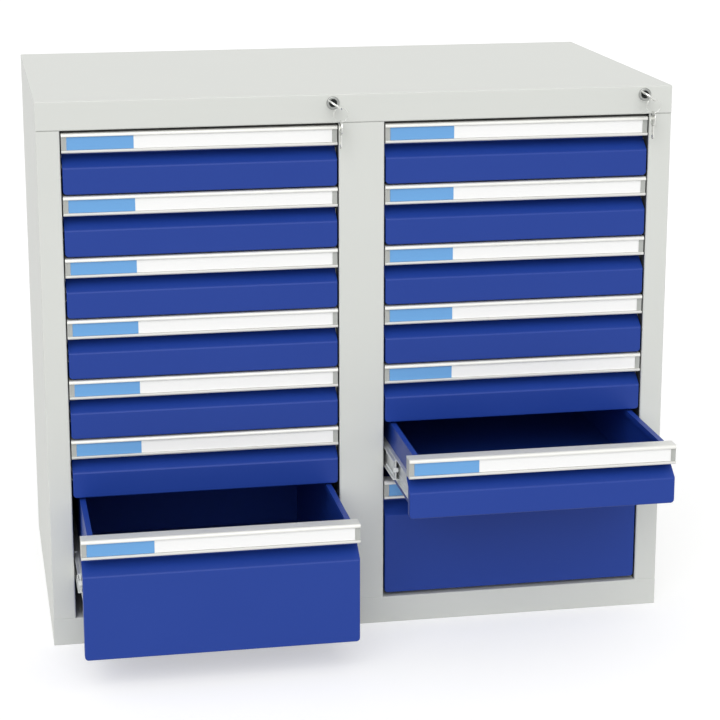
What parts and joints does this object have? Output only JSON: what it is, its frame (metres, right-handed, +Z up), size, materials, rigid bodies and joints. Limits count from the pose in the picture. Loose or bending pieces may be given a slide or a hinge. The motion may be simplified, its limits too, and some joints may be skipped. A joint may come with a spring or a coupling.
{
  "type": "reagent drawer cabinet",
  "caption": "Free-standing steel cabinet with side-by-side bays of pull-out drawers on telescopic slides, each bay with a key lock that bars its drawers.",
  "frame": {"origin": "middle of the base, on the floor, under the centre of the carcass", "axes": "+X to the cabinet's right seen from the front, +Y to its back (the drawers open towards -Y), +Z up"},
  "size_m": [1.03, 0.799, 0.9],
  "materials": {
    "carcass_paint": "light grey powder coat, fine orange-peel texture",
    "drawer_paint": "blue powder coat, satin",
    "handle_aluminium": "extruded, satin anodised, with a white and light blue label strip",
    "rail_zinc": "bright zinc plate",
    "lock_chrome": "nickel plate",
    "key_steel": "nickel-plated steel"
  },
  "bodies": {
    "carcass": {"side_panel_left": "carcass_paint", "side_panel_right": "carcass_paint", "runner_panels": "carcass_paint", "centre_partition": "carcass_paint", "top_cover": "carcass_paint", "base_pan": "carcass_paint", "rear_panel": "carcass_paint", "wall_rails": "rail_zinc", "lock_housings": "lock_chrome"},
    "drawer_left_1": {"drawer_left_1": "drawer_paint", "handle_left_1": "handle_aluminium"},
    "middle_rails_left_1": {"middle_rails_left_1": "rail_zinc"},
    "drawer_left_2": {"drawer_left_2": "drawer_paint", "handle_left_2": "handle_aluminium"},
    "middle_rails_left_2": {"middle_rails_left_2": "rail_zinc"},
    "drawer_left_3": {"drawer_left_3": "drawer_paint", "handle_left_3": "handle_aluminium"},
    "middle_rails_left_3": {"middle_rails_left_3": "rail_zinc"},
    "drawer_left_4": {"drawer_left_4": "drawer_paint", "handle_left_4": "handle_aluminium"},
    "middle_rails_left_4": {"middle_rails_left_4": "rail_zinc"},
    "drawer_left_5": {"drawer_left_5": "drawer_paint", "handle_left_5": "handle_aluminium"},
    "middle_rails_left_5": {"middle_rails_left_5": "rail_zinc"},
    "drawer_left_6": {"drawer_left_6": "drawer_paint", "handle_left_6": "handle_aluminium"},
    "middle_rails_left_6": {"middle_rails_left_6": "rail_zinc"},
    "drawer_left_7": {"drawer_left_7": "drawer_paint", "handle_left_7": "handle_aluminium"},
    "middle_rails_left_7": {"middle_rails_left_7": "rail_zinc"},
    "drawer_right_1": {"drawer_right_1": "drawer_paint", "handle_right_1": "handle_aluminium"},
    "middle_rails_right_1": {"middle_rails_right_1": "rail_zinc"},
    "drawer_right_2": {"drawer_right_2": "drawer_paint", "handle_right_2": "handle_aluminium"},
    "middle_rails_right_2": {"middle_rails_right_2": "rail_zinc"},
    "drawer_right_3": {"drawer_right_3": "drawer_paint", "handle_right_3": "handle_aluminium"},
    "middle_rails_right_3": {"middle_rails_right_3": "rail_zinc"},
    "drawer_right_4": {"drawer_right_4": "drawer_paint", "handle_right_4": "handle_aluminium"},
    "middle_rails_right_4": {"middle_rails_right_4": "rail_zinc"},
    "drawer_right_5": {"drawer_right_5": "drawer_paint", "handle_right_5": "handle_aluminium"},
    "middle_rails_right_5": {"middle_rails_right_5": "rail_zinc"},
    "drawer_right_6": {"drawer_right_6": "drawer_paint", "handle_right_6": "handle_aluminium"},
    "middle_rails_right_6": {"middle_rails_right_6": "rail_zinc"},
    "drawer_right_7": {"drawer_right_7": "drawer_paint", "handle_right_7": "handle_aluminium"},
    "middle_rails_right_7": {"middle_rails_right_7": "rail_zinc"},
    "key_left": {"lock_plug_left": "lock_chrome", "key_left": "key_steel"},
    "key_ring_left": {"key_ring_left": "key_steel"},
    "lock_bar_left": {"lock_bar_left": "rail_zinc"},
    "key_right": {"lock_plug_right": "lock_chrome", "key_right": "key_steel"},
    "key_ring_right": {"key_ring_right": "key_steel"},
    "lock_bar_right": {"lock_bar_right": "rail_zinc"}
  },
  "joints": [
    {"name": "drawer_slide_left_1", "type": "slide", "parent": "carcass", "child": "drawer_left_1", "axis": [0, -1, 0], "range_m": [0, 0.45]},
    {"name": "middle_rail_slide_left_1", "type": "slide", "parent": "carcass", "child": "middle_rails_left_1", "axis": [0, -1, 0], "range_m": [0, 0.225]},
    {"name": "drawer_slide_left_2", "type": "slide", "parent": "carcass", "child": "drawer_left_2", "axis": [0, -1, 0], "range_m": [0, 0.45]},
    {"name": "middle_rail_slide_left_2", "type": "slide", "parent": "carcass", "child": "middle_rails_left_2", "axis": [0, -1, 0], "range_m": [0, 0.225]},
    {"name": "drawer_slide_left_3", "type": "slide", "parent": "carcass", "child": "drawer_left_3", "axis": [0, -1, 0], "range_m": [0, 0.45]},
    {"name": "middle_rail_slide_left_3", "type": "slide", "parent": "carcass", "child": "middle_rails_left_3", "axis": [0, -1, 0], "range_m": [0, 0.225]},
    {"name": "drawer_slide_left_4", "type": "slide", "parent": "carcass", "child": "drawer_left_4", "axis": [0, -1, 0], "range_m": [0, 0.45]},
    {"name": "middle_rail_slide_left_4", "type": "slide", "parent": "carcass", "child": "middle_rails_left_4", "axis": [0, -1, 0], "range_m": [0, 0.225]},
    {"name": "drawer_slide_left_5", "type": "slide", "parent": "carcass", "child": "drawer_left_5", "axis": [0, -1, 0], "range_m": [0, 0.45]},
    {"name": "middle_rail_slide_left_5", "type": "slide", "parent": "carcass", "child": "middle_rails_left_5", "axis": [0, -1, 0], "range_m": [0, 0.225]},
    {"name": "drawer_slide_left_6", "type": "slide", "parent": "carcass", "child": "drawer_left_6", "axis": [0, -1, 0], "range_m": [0, 0.45]},
    {"name": "middle_rail_slide_left_6", "type": "slide", "parent": "carcass", "child": "middle_rails_left_6", "axis": [0, -1, 0], "range_m": [0, 0.225]},
    {"name": "drawer_slide_left_7", "type": "slide", "parent": "carcass", "child": "drawer_left_7", "axis": [0, -1, 0], "range_m": [-0.2, 0.25]},
    {"name": "middle_rail_slide_left_7", "type": "slide", "parent": "carcass", "child": "middle_rails_left_7", "axis": [0, -1, 0], "range_m": [-0.1, 0.125]},
    {"name": "drawer_slide_right_1", "type": "slide", "parent": "carcass", "child": "drawer_right_1", "axis": [0, -1, 0], "range_m": [0, 0.45]},
    {"name": "middle_rail_slide_right_1", "type": "slide", "parent": "carcass", "child": "middle_rails_right_1", "axis": [0, -1, 0], "range_m": [0, 0.225]},
    {"name": "drawer_slide_right_2", "type": "slide", "parent": "carcass", "child": "drawer_right_2", "axis": [0, -1, 0], "range_m": [0, 0.45]},
    {"name": "middle_rail_slide_right_2", "type": "slide", "parent": "carcass", "child": "middle_rails_right_2", "axis": [0, -1, 0], "range_m": [0, 0.225]},
    {"name": "drawer_slide_right_3", "type": "slide", "parent": "carcass", "child": "drawer_right_3", "axis": [0, -1, 0], "range_m": [0, 0.45]},
    {"name": "middle_rail_slide_right_3", "type": "slide", "parent": "carcass", "child": "middle_rails_right_3", "axis": [0, -1, 0], "range_m": [0, 0.225]},
    {"name": "drawer_slide_right_4", "type": "slide", "parent": "carcass", "child": "drawer_right_4", "axis": [0, -1, 0], "range_m": [0, 0.45]},
    {"name": "middle_rail_slide_right_4", "type": "slide", "parent": "carcass", "child": "middle_rails_right_4", "axis": [0, -1, 0], "range_m": [0, 0.225]},
    {"name": "drawer_slide_right_5", "type": "slide", "parent": "carcass", "child": "drawer_right_5", "axis": [0, -1, 0], "range_m": [0, 0.45]},
    {"name": "middle_rail_slide_right_5", "type": "slide", "parent": "carcass", "child": "middle_rails_right_5", "axis": [0, -1, 0], "range_m": [0, 0.225]},
    {"name": "drawer_slide_right_6", "type": "slide", "parent": "carcass", "child": "drawer_right_6", "axis": [0, -1, 0], "range_m": [-0.2, 0.25]},
    {"name": "middle_rail_slide_right_6", "type": "slide", "parent": "carcass", "child": "middle_rails_right_6", "axis": [0, -1, 0], "range_m": [-0.1, 0.125]},
    {"name": "drawer_slide_right_7", "type": "slide", "parent": "carcass", "child": "drawer_right_7", "axis": [0, -1, 0], "range_m": [0, 0.45]},
    {"name": "middle_rail_slide_right_7", "type": "slide", "parent": "carcass", "child": "middle_rails_right_7", "axis": [0, -1, 0], "range_m": [0, 0.225]},
    {"name": "key_turn_left", "type": "hinge", "parent": "carcass", "child": "key_left", "pos_m": [-0.04646, -0.32, 0.8865], "axis": [0, -1, 0], "range_deg": [-90, 0]},
    {"name": "lock_bar_slide_left", "type": "slide", "parent": "carcass", "child": "lock_bar_left", "axis": [0, 0, 1], "range_m": [0, 0.0099]},
    {"name": "key_ring_swing_left", "type": "hinge", "parent": "key_left", "child": "key_ring_left", "pos_m": [-0.0395, -0.32, 0.88162], "axis": [0, -1, 0], "range_deg": [0, 90]},
    {"name": "key_turn_right", "type": "hinge", "parent": "carcass", "child": "key_right", "pos_m": [0.46854, -0.32, 0.8865], "axis": [0, -1, 0], "range_deg": [-90, 0]},
    {"name": "lock_bar_slide_right", "type": "slide", "parent": "carcass", "child": "lock_bar_right", "axis": [0, 0, 1], "range_m": [0, 0.0099]},
    {"name": "key_ring_swing_right", "type": "hinge", "parent": "key_right", "child": "key_ring_right", "pos_m": [0.4755, -0.32, 0.88162], "axis": [0, -1, 0], "range_deg": [0, 90]}
  ],
  "couplings": [
    {"joint": "middle_rail_slide_left_1", "follows": "drawer_slide_left_1", "ratio": 0.5},
    {"joint": "middle_rail_slide_left_2", "follows": "drawer_slide_left_2", "ratio": 0.5},
    {"joint": "middle_rail_slide_left_3", "follows": "drawer_slide_left_3", "ratio": 0.5},
    {"joint": "middle_rail_slide_left_4", "follows": "drawer_slide_left_4", "ratio": 0.5},
    {"joint": "middle_rail_slide_left_5", "follows": "drawer_slide_left_5", "ratio": 0.5},
    {"joint": "middle_rail_slide_left_6", "follows": "drawer_slide_left_6", "ratio": 0.5},
    {"joint": "middle_rail_slide_left_7", "follows": "drawer_slide_left_7", "ratio": 0.5},
    {"joint": "middle_rail_slide_right_1", "follows": "drawer_slide_right_1", "ratio": 0.5},
    {"joint": "middle_rail_slide_right_2", "follows": "drawer_slide_right_2", "ratio": 0.5},
    {"joint": "middle_rail_slide_right_3", "follows": "drawer_slide_right_3", "ratio": 0.5},
    {"joint": "middle_rail_slide_right_4", "follows": "drawer_slide_right_4", "ratio": 0.5},
    {"joint": "middle_rail_slide_right_5", "follows": "drawer_slide_right_5", "ratio": 0.5},
    {"joint": "middle_rail_slide_right_6", "follows": "drawer_slide_right_6", "ratio": 0.5},
    {"joint": "middle_rail_slide_right_7", "follows": "drawer_slide_right_7", "ratio": 0.5},
    {"joint": "lock_bar_slide_left", "follows": "key_turn_left", "m_per_rad": -0.0063022},
    {"joint": "key_ring_swing_left", "follows": "key_turn_left", "ratio": -1},
    {"joint": "lock_bar_slide_right", "follows": "key_turn_right", "m_per_rad": -0.0063022},
    {"joint": "key_ring_swing_right", "follows": "key_turn_right", "ratio": -1}
  ]
}
